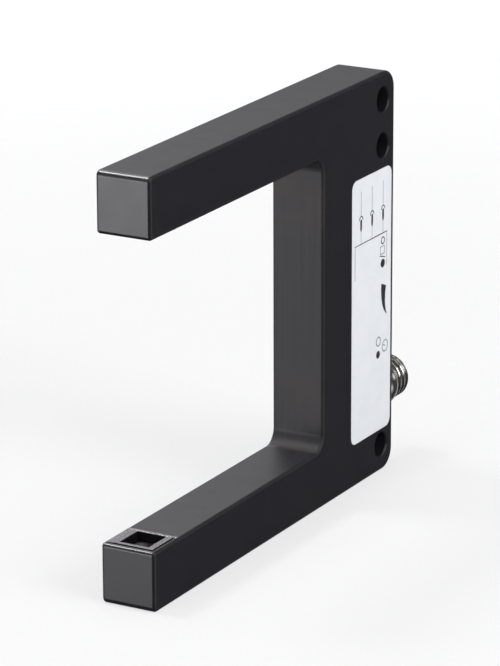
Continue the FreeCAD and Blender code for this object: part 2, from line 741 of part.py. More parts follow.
def main():
    """Build every piece and write one file for each."""
    os.makedirs("parts", exist_ok=True)
    pieces = {
        "housing": housing(),
        "side_cover": side_cover(),
        "rating_label": rating_label(),
        "emitter_frame": window_frame(),
        "emitter_lens": lens(),
        "emitter_holder": holder(),
        "emitter_led": diode(),
        "emitter_leads": diode_leads(),
        "emitter_board": arm_board(),
        "main_board": main_board(),
        "board_links": board_links(),
        "amplifier_chip": chip(AMPLIFIER_SIZE, AMPLIFIER_OFFSET, AMPLIFIER_LEGS),
        "controller_chip": chip(CONTROLLER_SIZE, CONTROLLER_OFFSET, CONTROLLER_LEGS),
        "voltage_regulator": chip(REGULATOR_SIZE, REGULATOR_OFFSET, REGULATOR_LEGS),
        "board_capacitors": board_capacitors(),
        "board_resistors": board_resistors(),
        "trimmer_body": adjuster_body(TRIMMER_HEIGHT, TRIMMER_STOP_ANGLE, 180),
        "sensitivity_trimmer": adjuster_rotor(TRIMMER_HEIGHT),
        "switch_body": adjuster_body(SWITCH_HEIGHT, SWITCH_STOP_ANGLE, 180 + SWITCH_TRAVEL / 2),
        "light_dark_switch": adjuster_rotor(SWITCH_HEIGHT),
        "adjuster_terminals": adjuster_terminals(),
        "indicator_led": indicator_led(),
        "light_pipe": light_pipe(),
        "plug_sleeve": plug_sleeve(),
        "plug_insert": plug_insert(),
        "contact_pins": contact_pins(),
        "plug_board": plug_board(),
    }
    for lower, upper in (("frame", "frame"), ("lens", "lens"), ("holder", "holder"),
                         ("led", "diode"), ("leads", "leads"), ("board", "board")):
        pieces["receiver_" + upper] = mirrored(pieces["emitter_" + lower])
    for name, shape in pieces.items():
        save(name, shape)


main()
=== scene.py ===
"""Looks of a fork sensor: anodised housing, printed label, screw plug, stage and camera."""

import logging
import math
from dataclasses import dataclass, field
from enum import Enum
from functools import cached_property
from typing import Any

import bmesh
import bpy
from mathutils import Matrix, Vector


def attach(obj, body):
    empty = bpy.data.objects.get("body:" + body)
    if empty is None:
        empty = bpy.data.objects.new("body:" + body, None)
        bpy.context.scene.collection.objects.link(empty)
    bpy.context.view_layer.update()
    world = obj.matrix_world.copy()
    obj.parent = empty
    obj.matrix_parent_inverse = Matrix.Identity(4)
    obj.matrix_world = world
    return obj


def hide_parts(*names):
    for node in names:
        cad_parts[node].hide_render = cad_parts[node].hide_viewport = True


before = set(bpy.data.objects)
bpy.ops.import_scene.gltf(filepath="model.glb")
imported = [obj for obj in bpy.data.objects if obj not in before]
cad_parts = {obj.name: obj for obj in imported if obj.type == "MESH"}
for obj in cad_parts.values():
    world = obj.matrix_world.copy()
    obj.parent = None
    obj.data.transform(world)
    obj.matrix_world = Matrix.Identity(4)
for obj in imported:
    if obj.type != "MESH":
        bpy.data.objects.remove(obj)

LOG = logging.getLogger("fork_sensor")
MM = 0.001
TIP_X = -0.044
QUARTER_TURN = math.radians(90)
SENSOR_BODY = "sensor"

Colour = tuple[float, float, float]
Point2 = tuple[float, float]
Point3 = tuple[float, float, float]
Range = tuple[float, float]
Socket = bpy.types.NodeSocket
Tree = bpy.types.ShaderNodeTree

WHITE: Colour = (1.0, 1.0, 1.0)
BLACK: Colour = (0.0, 0.0, 0.0)
FULL: Range = (0.0, 1.0)
FALLING: Range = (1.0, 0.0)


def along(station: float) -> float:
    """Turns a station counted from the arm tips, in mm, into a place along X in metres."""
    return TIP_X + station * MM


def around(middle: float, swing: float) -> Range:
    """The range that reaches as far below a value as above it."""
    return (middle - swing, middle + swing)


def rgba(colour: Colour) -> tuple[float, float, float, float]:
    """Adds full opacity to a colour."""
    return (colour[0], colour[1], colour[2], 1.0)


class Pattern(Enum):
    """The fine structure that a finish shows, by the name of its shared effect."""

    GRAIN = "grain"
    RINGS = "rings"
    TRACES = "traces"


class Slot(Enum):
    """Names of the record's material slots for the new pieces."""

    FRAMES = "frame_plastic"
    PLATING = "nickel_plated"
    INK = "insert_plastic"


@dataclass
class Wiring:
    """Builds one node tree with short calls."""

    tree: bpy.types.NodeTree

    def node(self, kind: str, inputs: dict[Any, Any] | None = None, **settings: Any) -> bpy.types.Node:
        """Adds a node, sets its plain properties and feeds its inputs.

        Args:
            kind: the node's type name.
            inputs: what its inputs take, by their names or numbers.
            settings: properties to set on the node.

        Returns:
            The new node.
        """
        made = self.tree.nodes.new(kind)
        for key, value in settings.items():
            setattr(made, key, value)
        for key, source in (inputs or {}).items():
            self.feed(made.inputs[key], source)
        return made

    def feed(self, socket: Socket, source: Any) -> None:
        """Links a socket to a source, or sets it where the source is a plain value.

        Args:
            socket: the input socket.
            source: an output socket, a number, a vector or a colour.
        """
        if isinstance(source, bpy.types.NodeSocket):
            self.tree.links.new(source, socket)
        else:
            socket.default_value = source

    def give(self, **results: Socket) -> bpy.types.NodeTree:
        """Closes a group with what it puts out, and hands its tree over."""
        self.node("NodeGroupOutput", results)
        return self.tree

    def group(self, tree: Tree, **values: float) -> bpy.types.Node:
        """Places a shared group with values of its own."""
        return self.node("ShaderNodeGroup", values, node_tree=tree)

    def maths(self, operation: str, first: Any, second: Any = 0.0, clamp: bool = False) -> Socket:
        """One step of arithmetic; clamp keeps its result between 0 and 1."""
        step = self.node("ShaderNodeMath", {0: first, 1: second}, operation=operation, use_clamp=clamp)
        return step.outputs[0]

    def spread(self, value: Any, given: Range, result: Range = FULL) -> Socket:
        """Maps a range of values smoothly onto another one.

        Args:
            value: the socket to map.
            given: start and end of the range that comes in.
            result: start and end of the range that goes out.

        Returns:
            The mapped socket.
        """
        ends = dict(enumerate((value, *given, *result)))
        return self.node("ShaderNodeMapRange", ends, interpolation_type="SMOOTHSTEP").outputs[0]

    def blend(self, share: Any, first: Any, second: Any) -> Socket:
        """Mixes two colours; share is how much of the second one shows."""
        return self.node("ShaderNodeMix", {0: share, 6: first, 7: second}, data_type="RGBA").outputs[2]

    def level(self, share: Any, first: Any, second: Any) -> Socket:
        """Mixes two numbers; share is how much of the second one counts."""
        return self.node("ShaderNodeMix", {0: share, 2: first, 3: second}, data_type="FLOAT").outputs[0]

    def noise(self, place: Any, scale: Any, detail: float = 3.0, rough: float = 0.55) -> Socket:
        """Cloudy noise between 0 and 1.

        Args:
            place: the coordinates.
            scale: features per metre.
            detail: octaves.
            rough: weight of the fine octaves.

        Returns:
            The noise value's socket.
        """
        inputs = {"Vector": place, "Scale": scale, "Detail": detail, "Roughness": rough}
        return self.node("ShaderNodeTexNoise", inputs).outputs["Fac"]

    def place(self) -> Socket:
        """Coordinates of the object at the point that is shaded."""
        return self.node("ShaderNodeTexCoord").outputs["Object"]

    def axes(self, vector: Any) -> Any:
        """Splits a vector into the sockets of its X, Y and Z."""
        return self.node("ShaderNodeSeparateXYZ", {0: vector}).outputs

    def facing(self) -> Any:
        """X, Y and Z of the direction that the surface faces."""
        return self.axes(self.node("ShaderNodeNewGeometry").outputs["Normal"])

    def joined(self, x: Any = 0.0, y: Any = 0.0, z: Any = 0.0) -> Socket:
        """Joins X, Y and Z into a vector."""
        return self.node("ShaderNodeCombineXYZ", {0: x, 1: y, 2: z}).outputs[0]


def open_group(name: str, numbers: dict[str, float], results: list[str]) -> tuple[Wiring, Any]:
    """Opens a new shader group with number inputs and value outputs.

    Args:
        name: the group's name.
        numbers: input names and their defaults.
        results: output names.

    Returns:
        The wiring helper and the sockets that the group is given.
    """
    tree = bpy.data.node_groups.new(name, "ShaderNodeTree")
    for label, value in numbers.items():
        socket = tree.interface.new_socket(label, in_out="INPUT", socket_type="NodeSocketFloat")
        socket.default_value = value
    for label in results:
        tree.interface.new_socket(label, in_out="OUTPUT", socket_type="NodeSocketFloat")
    wiring = Wiring(tree)
    return wiring, wiring.node("NodeGroupInput").outputs


@dataclass
class SharedEffects:
    """Shader node groups that several finishes use, each built once, when it is first asked for.

    Scales are in features per metre. A pair of edges gives the noise levels, or the tilts of the
    surface, between which an effect grows from nothing to its full strength.
    """

    tone_edges: Range = (0.3, 0.7)
    slow_share: float = 0.045
    wide_share: float = 0.3
    ring_squash: Point3 = (1.0, 0.03, 0.03)
    ring_cloud: float = 700.0
    tracks_per_cell: float = 4.0
    track_edges: Range = (0.4, 0.55)
    breakup_scale: float = 1500.0
    breakup_edges: Range = (0.35, 0.65)
    speck_edges: Range = (0.62, 0.74)
    drift_scale: float = 160.0
    drift_edges: Range = (0.4, 0.7)
    upward_edges: Range = (0.3, 0.9)

    @cached_property
    def grain(self) -> Tree:
        """Fine even grain with a slow change of tone.

        Returns:
            The group's tree.
        """
        wiring, given = open_group("fine_grain", {"Scale": 3000.0}, ["Height", "Tone"])
        place = wiring.place()
        slow = wiring.maths("MULTIPLY", given["Scale"], self.slow_share)
        return wiring.give(
            Height=wiring.noise(place, given["Scale"], detail=4.0, rough=0.6),
            Tone=wiring.spread(wiring.noise(place, slow, rough=0.5), self.tone_edges))

    @cached_property
    def streaks(self) -> Tree:
        """Fine lines that run up and down, as a milling cutter leaves them.

        Returns:
            The group's tree.
        """
        wiring, given = open_group(
            "cutter_streaks", {"Scale": 3000.0, "Stretch": 0.01}, ["Height", "Tone"])
        x, y, z = wiring.axes(wiring.place())
        drawn_out = wiring.joined(x, y, wiring.maths("MULTIPLY", z, given["Stretch"]))
        wide = wiring.maths("MULTIPLY", given["Scale"], self.wide_share)
        return wiring.give(
            Height=wiring.noise(drawn_out, given["Scale"], detail=2.0),
            Tone=wiring.spread(wiring.noise(drawn_out, wide), self.tone_edges))

    @cached_property
    def rings(self) -> Tree:
        """Fine turning marks round the X direction.

        Returns:
            The group's tree.
        """
        wiring, given = open_group("turned_rings", {"Scale": 4000.0}, ["Height", "Tone"])
        place = wiring.place()
        squashed = wiring.node(
            "ShaderNodeVectorMath", {0: place, 1: self.ring_squash}, operation="MULTIPLY")
        return wiring.give(
            Height=wiring.noise(squashed.outputs[0], given["Scale"], detail=2.0),
            Tone=wiring.spread(wiring.noise(place, self.ring_cloud), self.tone_edges))

    @cached_property
    def traces(self) -> Tree:
        """Copper tracks that show as raised paths under a board's lacquer.

        Returns:
            The group's tree.
        """
        wiring, given = open_group("board_traces", {"Scale": 700.0}, ["Height", "Tone"])
        cells = wiring.node("ShaderNodeTexVoronoi", distance="MANHATTAN", feature="F1", inputs={
            "Vector": wiring.place(), "Scale": given["Scale"]})
        steps = wiring.maths("MULTIPLY", cells.outputs["Distance"], self.tracks_per_cell)
        line = wiring.spread(wiring.maths("FRACT", steps), self.track_edges)
        return wiring.give(Height=line, Tone=line)

    @cached_property
    def edge_wear_and_sheen(self) -> Tree:
        """Mask that is high where two faces meet at an outer edge, for real edge wear and for a painted
        edge highlight.

        Returns:
            The group's tree.
        """
        wiring, given = open_group("edge_wear_and_sheen", {"Width": 0.0003, "Gain": 4.0}, ["Mask"])
        rounded = wiring.node("ShaderNodeBevel", {"Radius": given["Width"]}, samples=4).outputs[0]
        plain = wiring.node("ShaderNodeNewGeometry").outputs["Normal"]
        turn = wiring.node("ShaderNodeVectorMath", {0: rounded, 1: plain}, operation="DOT_PRODUCT")
        away = wiring.maths("SUBTRACT", 1.0, turn.outputs["Value"])
        gained = wiring.maths("MULTIPLY", away, given["Gain"], clamp=True)
        broken = wiring.spread(wiring.noise(wiring.place(), self.breakup_scale), self.breakup_edges)
        return wiring.give(Mask=wiring.maths("MULTIPLY", gained, broken, clamp=True))

    @cached_property
    def settled_dust(self) -> Tree:
        """Mask of sparse pale specks on faces that look upwards.

        Returns:
            The group's tree.
        """
        wiring, given = open_group("settled_dust", {"Scale": 2500.0, "Amount": 0.3}, ["Mask"])
        place = wiring.place()
        speck = wiring.spread(wiring.noise(place, given["Scale"], detail=2.0), self.speck_edges)
        drift = wiring.spread(wiring.noise(place, self.drift_scale, detail=2.0), self.drift_edges)
        upward = wiring.spread(wiring.facing()[2], self.upward_edges)
        lying = wiring.maths("MULTIPLY", wiring.maths("MULTIPLY", speck, drift), upward)
        return wiring.give(Mask=wiring.maths("MULTIPLY", lying, given["Amount"], clamp=True))


EFFECTS = SharedEffects()


@dataclass(frozen=True)
class Finish:
    """One surface finish; lengths in metres, scales in features per metre."""

    name: str
    colour: Colour
    shade: Colour
    roughness: float = 0.45
    swing: float = 0.08
    metallic: float = 0.0
    specular: float = 0.5
    coat: float = 0.0
    coat_roughness: float = 0.15
    grain_scale: float = 3000.0
    grain_depth: float = 4e-6
    pattern: Pattern = Pattern.GRAIN
    # lighter outer edges: wear on some finishes, a painted edge highlight on the black anodised
    wear_and_sheen: float = 0.0
    wear_and_sheen_colour: Colour = (0.3, 0.3, 0.3)
    dust: float = 0.0
    dust_colour: Colour = (0.35, 0.34, 0.32)

    def colours(self, wiring: Wiring, tone: Any) -> Any:
        """Base colour of the surface.

        Args:
            wiring: the material's tree.
            tone: mask of the slow change of tone.

        Returns:
            The colour's socket.
        """
        mixed = wiring.blend(tone, rgba(self.colour), rgba(self.shade))
        # edge colour: wear on some finishes, a painted highlight on the black anodised
        if self.wear_and_sheen > 0:
            edges = wiring.group(EFFECTS.edge_wear_and_sheen)
            share = wiring.maths("MULTIPLY", edges.outputs["Mask"], self.wear_and_sheen, clamp=True)
            mixed = wiring.blend(share, mixed, rgba(self.wear_and_sheen_colour))
        if self.dust > 0:
            specks = wiring.group(EFFECTS.settled_dust, Amount=self.dust)
            mixed = wiring.blend(specks.outputs["Mask"], mixed, rgba(self.dust_colour))
        return mixed

    def rough_map(self, wiring: Wiring, tone: Any) -> Any:
        """Roughness that swings a little with the tone of the surface."""
        return wiring.spread(tone, FULL, around(self.roughness, self.swing))

    def set_constants(self, shader: bpy.types.Node) -> None:
        """Sets what is the same all over the surface on the shader itself.

        Args:
            shader: the material's shader.
        """
        shader.inputs["Metallic"].default_value = self.metallic
        shader.inputs["Specular IOR Level"].default_value = self.specular
        shader.inputs["Coat Weight"].default_value = self.coat
        shader.inputs["Coat Roughness"].default_value = self.coat_roughness

    def material(self) -> bpy.types.Material:
        """Builds the material the first time it is asked for.

        Returns:
            The material.
        """
        known = bpy.data.materials.get(self.name)
        if known is not None:
            return known
        made = bpy.data.materials.new(self.name)
        made.use_nodes = True
        made.node_tree.nodes.clear()
        wiring = Wiring(made.node_tree)
        pattern = wiring.group(getattr(EFFECTS, self.pattern.value), Scale=self.grain_scale).outputs
        relief = wiring.node("ShaderNodeBump", {
            "Strength": 1.0, "Distance": self.grain_depth, "Height": pattern["Height"]})
        shader = wiring.node("ShaderNodeBsdfPrincipled", {
            "Base Color": self.colours(wiring, pattern["Tone"]),
            "Roughness": self.rough_map(wiring, pattern["Tone"]),
            "Normal": relief.outputs["Normal"]})
        self.set_constants(shader)
        wiring.node("ShaderNodeOutputMaterial", {"Surface": shader.outputs["BSDF"]})
        made.diffuse_color = rgba(self.colour)
        return made


@dataclass(frozen=True)
class GlassFinish(Finish):
    """Clear or tinted plastic that light passes through."""

    passing: float = 0.8
    index: float = 1.49

    def set_constants(self, shader: bpy.types.Node) -> None:
        """Adds the constants of a clear material.

        Args:
            shader: the material's shader.
        """
        super().set_constants(shader)
        shader.inputs["Transmission Weight"].default_value = self.passing
        shader.inputs["IOR"].default_value = self.index


@dataclass(frozen=True)
class AnodisedFinish(Finish):
    """Black anodised metal, with cutter streaks on the wall at the mouth's end.

    Each facing is a pair of tilts of the surface, between which an effect grows.
    """

    streak_colour: Colour = (0.0185, 0.0178, 0.0205)
    streak_shade: Colour = (0.014, 0.0138, 0.0165)
    streak_scale: float = 5200.0
    streak_levels: Range = (0.2, 0.8)
    streak_roughness: float = 0.5
    streak_swing: float = 0.03
    # brownish cloudy patches towards the top and bottom of the wall
    end_tint: Colour = (0.028, 0.021, 0.0195)
    end_tint_scale: float = 120.0
    end_tint_edges: Range = (0.3, 0.6)
    end_tint_reach: Range = (0.009, 0.017)
    wall_station: float = 55.0
    wall_middle: float = 0.035
    wall_reach: float = 0.0025
    wall_fade: float = 1.2
    wall_facing: Range = (-0.3, -0.05)
    top_facing: Range = (0.9, 0.99)
    top_dulling: float = 0.13
    edge_facing: Range = (0.08, 0.25)
    edge_dulling: float = 0.28
    fillet_facing: Range = (0.1, 0.3)
    fillet_dulling: float = 0.16

    def wall_mask(self, wiring: Wiring) -> Any:
        """Mask of the wall at the mouth's end, which a cutter has left streaked.

        Args:
            wiring: the material's tree.

        Returns:
            The mask's socket.
        """
        x = wiring.axes(wiring.place())[0]
        away = wiring.maths("ABSOLUTE", wiring.maths("SUBTRACT", x, along(self.wall_station)))
        near = wiring.spread(away, (self.wall_reach, self.wall_reach * self.wall_fade), FALLING)
        towards = wiring.spread(wiring.facing()[0], self.wall_facing, FALLING)
        return wiring.maths("MULTIPLY", near, towards, clamp=True)

    def streak_node(self, wiring: Wiring) -> bpy.types.Node:
        """Places the shared group of cutter streaks."""
        return wiring.group(EFFECTS.streaks, Scale=self.streak_scale)

    def colours(self, wiring: Wiring, tone: Any) -> Any:
        """Adds the streaked wall, brownish in cloudy patches towards its top and bottom, to the plain
        black.

        Args:
            wiring: the material's tree.
            tone: mask of the slow change of tone.

        Returns:
            The colour's socket.
        """
        plain = super().colours(wiring, tone)
        streaked = wiring.blend(self.streak_node(wiring).outputs["Tone"],
                                rgba(self.streak_colour), rgba(self.streak_shade))
        place = wiring.place()
        z = wiring.axes(place)[2]
        ends = wiring.maths("ABSOLUTE", wiring.maths("SUBTRACT", z, self.wall_middle))
        cloud = wiring.spread(wiring.noise(place, self.end_tint_scale, detail=2.0), self.end_tint_edges)
        patches = wiring.maths("MULTIPLY", wiring.spread(ends, self.end_tint_reach), cloud, clamp=True)
        end_tinted = wiring.blend(patches, streaked, rgba(self.end_tint))
        return wiring.blend(self.wall_mask(wiring), plain, end_tinted)

    def rough_map(self, wiring: Wiring, tone: Any) -> Any:
        """Makes upward faces a little duller, and the long edges and the streaked wall duller still.

        Args:
            wiring: the material's tree.
            tone: mask of the slow change of tone.

        Returns:
            The roughness socket.
        """
        x, y, z = wiring.facing()
        upward = wiring.spread(z, self.top_facing, (0.0, self.top_dulling))
        leaning = wiring.maths("ABSOLUTE", wiring.maths("MULTIPLY", y, z))
        long_edge = wiring.spread(leaning, self.edge_facing, (0.0, self.edge_dulling))
        dulling = wiring.maths("ADD", upward, long_edge)
        plain = wiring.maths("ADD", super().rough_map(wiring, tone), dulling)
        streaked = wiring.spread(self.streak_node(wiring).outputs["Height"], self.streak_levels,
                                 around(self.streak_roughness, self.streak_swing))
        bent = wiring.maths("ABSOLUTE", wiring.maths("MULTIPLY", x, z))
        fillet = wiring.spread(bent, self.fillet_facing, (0.0, self.fillet_dulling))
        return wiring.level(self.wall_mask(wiring), plain, wiring.maths("ADD", streaked, fillet))


@dataclass(frozen=True)
class WindowFinish(Finish):
    """Mottled plastic of the window frames; only its flat face is pale, its inner walls are painted
    near-black as painted shade.
    """

    # painted shade: near-black colour of the frame's walls, where the opening lies in shade
    painted_shade_colour: Colour = (0.006, 0.006, 0.007)
    flat_facing: Range = (0.5, 0.62)
    fleck_scale: float = 3000.0
    fleck_roughness: float = 0.7
    fleck_edges: Range = (0.4, 0.64)

    def colours(self, wiring: Wiring, tone: Any) -> Any:
        """Keeps the mottled tone to faces that look straight up or down; the other faces take the
        near-black painted shade.

        Args:
            wiring: the material's tree.
            tone: mask of the slow change of tone; not used, the flecks stand in for it here.

        Returns:
            The colour's socket.
        """
        flat = wiring.spread(wiring.maths("ABSOLUTE", wiring.facing()[2]), self.flat_facing)
        cloud = wiring.noise(wiring.place(), self.fleck_scale, rough=self.fleck_roughness)
        pale = wiring.blend(wiring.spread(cloud, self.fleck_edges), rgba(self.colour), rgba(self.shade))
        # faces that don't look up or down take the painted shade colour
        return wiring.blend(flat, rgba(self.painted_shade_colour), pale)


@dataclass(frozen=True)
class FloorFinish(Finish):
    """Pale matt floor that turns into a white backdrop for the camera, metal and glass."""

    lift: float = 0.62
    fade: Range = (0.1, 0.4)

    def backdrop_share(self, wiring: Wiring) -> Any:
        """How far the floor has turned into the white backdrop, for rays that see it as one.

        Args:
            wiring: the material's tree.

        Returns:
            The share's socket.
        """
        rays = wiring.node("ShaderNodeLightPath").outputs
        through = wiring.maths("MAXIMUM", rays["Is Glossy Ray"], rays["Is Transmission Ray"])
        seen = wiring.maths("MAXIMUM", rays["Is Camera Ray"], through)
        reach = wiring.node("ShaderNodeVectorMath", {0: wiring.place()}, operation="LENGTH")
        far = wiring.spread(reach.outputs["Value"], self.fade, (self.lift, 1.0))
        return wiring.maths("MULTIPLY", seen, far)

    def colours(self, wiring: Wiring, tone: Any) -> Any:
        """Lets the floor's own colour give way to the backdrop."""
        return wiring.blend(self.backdrop_share(wiring), super().colours(wiring, tone), rgba(BLACK))

    def set_constants(self, shader: bpy.types.Node) -> None:
        """Adds the white of the backdrop as plain light of strength 1.

        Args:
            shader: the material's shader.
        """
        super().set_constants(shader)
        shader.inputs["Emission Color"].default_value = rgba(WHITE)
        wiring = Wiring(shader.id_data)
        wiring.feed(shader.inputs["Emission Strength"], self.backdrop_share(wiring))


# its lighter edge colour is a painted highlight along the rounded edges
BLACK_ANODISED = AnodisedFinish(
    "black_anodised", (0.0138, 0.0136, 0.0176), (0.0148, 0.0146, 0.0186), roughness=0.29, swing=0.012,
    grain_scale=5200.0, grain_depth=1.5e-6, wear_and_sheen=0.08, wear_and_sheen_colour=(0.09, 0.09, 0.095), dust=0.12)
WHITE_SHEET = Finish(
    "label_sheet", (0.84, 0.86, 0.885), (0.80, 0.825, 0.855), roughness=0.36, swing=0.05,
    grain_scale=6000.0, grain_depth=1.2e-6)
DARK_INK = Finish(
    "dark_ink", (0.018, 0.018, 0.02), (0.03, 0.03, 0.032), roughness=0.5, grain_scale=9000.0,
    grain_depth=1e-6)
GREY_INK = Finish(
    "grey_ink", (0.21, 0.22, 0.235), (0.27, 0.28, 0.29), roughness=0.5, grain_scale=9000.0,
    grain_depth=1e-6)
WINDOW_PLASTIC = WindowFinish(
    "window_plastic", (0.12, 0.11, 0.125), (0.33, 0.305, 0.33), roughness=0.35, swing=0.1,
    grain_scale=2600.0, grain_depth=8e-6)
LENS_PLASTIC = GlassFinish(
    "lens_plastic", (0.008, 0.007, 0.009), (0.012, 0.01, 0.013), roughness=0.05, swing=0.02,
    specular=0.24, grain_scale=1800.0, grain_depth=3.2e-4, passing=0.1)
HOLDER_PLASTIC = Finish(
    "holder_plastic", (0.02, 0.02, 0.021), (0.03, 0.03, 0.03), roughness=0.6)
CLEAR_DIODE = GlassFinish(
    "clear_diode", (0.85, 0.88, 0.95), (0.8, 0.84, 0.92), roughness=0.06, swing=0.02, grain_depth=3e-7)
DARK_DIODE = GlassFinish(
    "dark_diode", (0.1, 0.05, 0.11), (0.14, 0.07, 0.14), roughness=0.08, swing=0.02, grain_depth=3e-7,
    passing=0.6)
TINNED_METAL = Finish(
    "tinned_metal", (0.62, 0.62, 0.6), (0.52, 0.52, 0.5), roughness=0.3, metallic=1.0, grain_scale=2500.0)
GOLD_CONTACT = Finish(
    "gold_contact", (0.83, 0.62, 0.28), (0.74, 0.54, 0.22), roughness=0.22, swing=0.06, metallic=1.0,
    pattern=Pattern.RINGS, grain_depth=1e-6)
BOARD_LACQUER = Finish(
    "board_lacquer", (0.012, 0.1, 0.035), (0.03, 0.2, 0.07), roughness=0.3, coat=0.4,
    pattern=Pattern.TRACES, grain_scale=420.0, grain_depth=1.5e-5)
CHIP_PLASTIC = Finish(
    "chip_plastic", (0.022, 0.022, 0.024), (0.035, 0.035, 0.037), roughness=0.55, grain_scale=5000.0)
CERAMIC_TAN = Finish(
    "ceramic_tan", (0.42, 0.27, 0.13), (0.5, 0.34, 0.19), roughness=0.5, grain_scale=4000.0)
ADJUSTER_BLUE = Finish(
    "adjuster_blue", (0.02, 0.09, 0.32), (0.03, 0.12, 0.38), roughness=0.35, grain_scale=2500.0)
ROTOR_PLASTIC = Finish(
    "rotor_plastic", (0.72, 0.69, 0.62), (0.66, 0.63, 0.56), roughness=0.42, grain_scale=3500.0,
    wear_and_sheen=0.3, wear_and_sheen_colour=(0.5, 0.48, 0.43))
INDICATOR_YELLOW = Finish(
    "indicator_yellow", (0.85, 0.62, 0.06), (0.78, 0.55, 0.05), roughness=0.3)
CLEAR_ROD = GlassFinish(
    "clear_rod", (0.9, 0.72, 0.26), (0.86, 0.67, 0.22), roughness=0.12, swing=0.02, grain_depth=4e-7,
    passing=0.35)
PLATED_METAL = Finish(
    "plated_metal", (0.6, 0.57, 0.535), (0.5, 0.475, 0.445), roughness=0.22, swing=0.05, metallic=1.0,
    pattern=Pattern.RINGS, grain_scale=7000.0, grain_depth=1.2e-6, wear_and_sheen=0.3,
    wear_and_sheen_colour=(0.72, 0.69, 0.65))
INSERT_PLASTIC = Finish(
    "insert_plastic", (0.02, 0.02, 0.022), (0.032, 0.032, 0.034), roughness=0.5, grain_scale=3500.0)
PALE_FLOOR = FloorFinish(
    "pale_floor", (0.93, 0.93, 0.93), (0.93, 0.93, 0.93), roughness=0.85, swing=0.02, specular=0.2,
    grain_scale=40.0, grain_depth=1e-6)


def new_object(name: str, mesh: bpy.types.Mesh, finish: Finish) -> bpy.types.Object:
    """Puts a mesh into the scene.

    Args:
        name: the piece's name.
        mesh: its mesh.
        finish: its one finish.

    Returns:
        The new object, at the origin.
    """
    mesh.materials.clear()
    mesh.materials.append(finish.material())
    piece = bpy.data.objects.new(name, mesh)
    bpy.context.scene.collection.objects.link(piece)
    return piece


def plain_mesh(name: str, shape: bmesh.types.BMesh) -> bpy.types.Mesh:
    """Turns a worked shape into a mesh and frees it.

    Args:
        name: the mesh's name.
        shape: the shape.

    Returns:
        The mesh.
    """
    mesh = bpy.data.meshes.new(name)
    shape.to_mesh(mesh)
    shape.free()
    return mesh


def join_loops(shape: bmesh.types.BMesh, loops: list[list[bmesh.types.BMVert]], closed: bool) -> None:
    """Joins like loops of points with a skin of four-sided faces.

    Args:
        shape: the shape that takes the skin.
        loops: the loops in order, all with the same number of points.
        closed: joins the last loop to the first, in place of two end caps.
    """
    for here, ahead in zip(loops, loops[1:] + (loops[:1] if closed else [])):
        for index in range(len(here)):
            after = (index + 1) % len(here)
            shape.faces.new((here[index], here[after], ahead[after], ahead[index]))
    if not closed:
        shape.faces.new(loops[0])
        shape.faces.new(loops[-1][::-1])


@dataclass
class SubAssembly:
    """What every group of pieces can do."""

    def dress(self, finish: Finish, *nodes: str) -> None:
        """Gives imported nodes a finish.

        Args:
            finish: the finish to use.
            nodes: names of the nodes.
        """
        material = finish.material()
        for node in nodes:
            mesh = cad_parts[node].data
            mesh.materials.clear()
            mesh.materials.append(material)
            LOG.info("dressed %s in %s", node, finish.name)

    def settle(self, piece: bpy.types.Object, slot: Slot, *nodes: str) -> None:
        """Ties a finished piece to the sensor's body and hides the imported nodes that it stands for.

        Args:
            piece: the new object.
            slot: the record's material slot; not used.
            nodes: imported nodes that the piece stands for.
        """
        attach(piece, SENSOR_BODY)
        if nodes:
            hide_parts(*nodes)
        LOG.info("made %s with %d faces", piece.name, len(piece.data.polygons))


@dataclass
class NodeRecipe:
    """A Geometry Nodes tree with named inputs, run once into a plain mesh."""

    name: str
    numbers: dict[str, float] = field(default_factory=dict)
    counts: dict[str, int] = field(default_factory=dict)

    def __post_init__(self) -> None:
        """Makes the tree's sockets and its input and output nodes."""
        self.tree = bpy.data.node_groups.new(self.name, "GeometryNodeTree")
        face = self.tree.interface
        face.new_socket("Geometry", in_out="INPUT", socket_type="NodeSocketGeometry")
        for label in self.numbers:
            face.new_socket(label, in_out="INPUT", socket_type="NodeSocketFloat")
        for label in self.counts:
            face.new_socket(label, in_out="INPUT", socket_type="NodeSocketInt")
        face.new_socket("Geometry", in_out="OUTPUT", socket_type="NodeSocketGeometry")
        self.wiring = Wiring(self.tree)
        self.given = self.wiring.node("NodeGroupInput").outputs

    def end(self, shape: Socket, finish: Finish) -> None:
        """Closes the tree with real geometry and its material.

        Args:
            shape: the geometry to give out.
            finish: the finish of the piece.
        """
        real = self.wiring.node("GeometryNodeRealizeInstances", {"Geometry": shape})
        painted = self.wiring.node("GeometryNodeSetMaterial", {
            "Geometry": real.outputs["Geometry"], "Material": finish.material()})
        self.wiring.give(Geometry=painted.outputs["Geometry"])

    def run(self, piece: bpy.types.Object) -> bpy.types.Object:
        """Runs the tree on an object and leaves a plain mesh on it.

        Args:
            piece: the object that carries the modifier for a moment.

        Returns:
            The same object with its finished mesh.
        """
        modifier = piece.modifiers.new(self.name, "NODES")
        modifier.node_group = self.tree
        values: dict[str, Any] = {**self.numbers, **self.counts}
        for item in self.tree.interface.items_tree:
            if item.in_out == "INPUT" and item.name in values:
                modifier[item.identifier] = values[item.name]
        bpy.context.view_layer.update()
        evaluated = piece.evaluated_get(bpy.context.evaluated_depsgraph_get())
        mesh = bpy.data.meshes.new_from_object(evaluated)
        piece.modifiers.remove(modifier)
        piece.data = mesh
        return piece


@dataclass
class Housing(SubAssembly):
    """The metal body and its cover."""

    def build(self) -> None:
        """Dresses the housing and the cover."""
        self.dress(BLACK_ANODISED, "housing", "side_cover")


